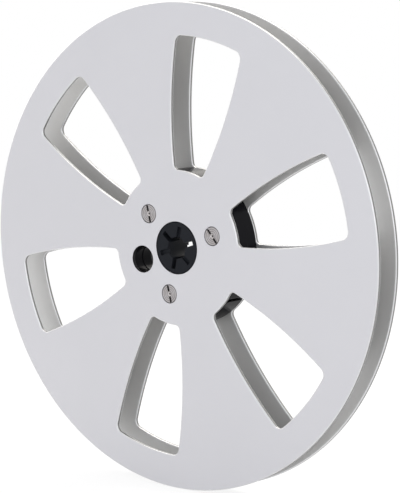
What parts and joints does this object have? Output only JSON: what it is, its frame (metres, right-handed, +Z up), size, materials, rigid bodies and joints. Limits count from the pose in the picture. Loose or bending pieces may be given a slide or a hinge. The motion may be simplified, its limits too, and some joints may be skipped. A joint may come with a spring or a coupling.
{
  "type": "audio tape reel",
  "caption": "Open tape reel: flat round metal flanges with large windows, screwed to a moulded hub with a slotted spindle bore and a finger hole.",
  "frame": {"origin": "centre of the spindle bore, midway between the flanges", "axes": "+Y along the spindle from the front face to the rear face, +Z up as the reel stands, +X to the right seen from the front"},
  "size_m": [0.1778, 0.012, 0.1778],
  "materials": {
    "flange": "satin, lightly brushed",
    "hub": "moulded gloss",
    "spindle_bush": "satin",
    "screw": "nickel plated, turned",
    "insert": "machined"
  },
  "bodies": {
    "root": {"front_flange": "flange", "rear_flange": "flange", "hub": "hub", "spindle_bush": "spindle_bush", "front_screw_1": "screw", "front_screw_2": "screw", "front_screw_3": "screw", "rear_screw_1": "screw", "rear_screw_2": "screw", "rear_screw_3": "screw", "front_insert_1": "insert", "front_insert_2": "insert", "front_insert_3": "insert", "rear_insert_1": "insert", "rear_insert_2": "insert", "rear_insert_3": "insert"}
  },
  "joints": []
}
